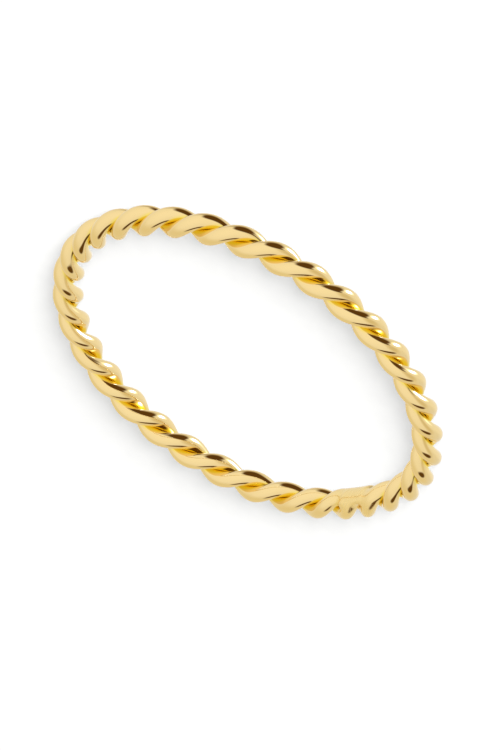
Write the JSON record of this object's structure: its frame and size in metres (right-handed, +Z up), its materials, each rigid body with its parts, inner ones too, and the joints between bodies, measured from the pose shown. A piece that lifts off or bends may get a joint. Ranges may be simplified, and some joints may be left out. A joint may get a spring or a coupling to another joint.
{
  "type": "twisted wire stacking ring",
  "caption": "Thin rope-twist stacking ring: round gold wires twisted together, bent into a circle and soldered shut; lies on its side.",
  "frame": {"origin": "middle of the finger hole, on the plane that the ring rests on when it lies on its side", "axes": "+Z up along the axis of the finger hole; +Y from the middle towards the solder seam"},
  "size_m": [0.0202, 0.0201, 0.0014],
  "materials": {
    "gold_wire_a": "mirror-polished pale yellow gold",
    "gold_wire_b": "mirror-polished pale yellow gold"
  },
  "bodies": {
    "root": {"strand_a": "gold_wire_a", "strand_b": "gold_wire_b"}
  },
  "joints": []
}
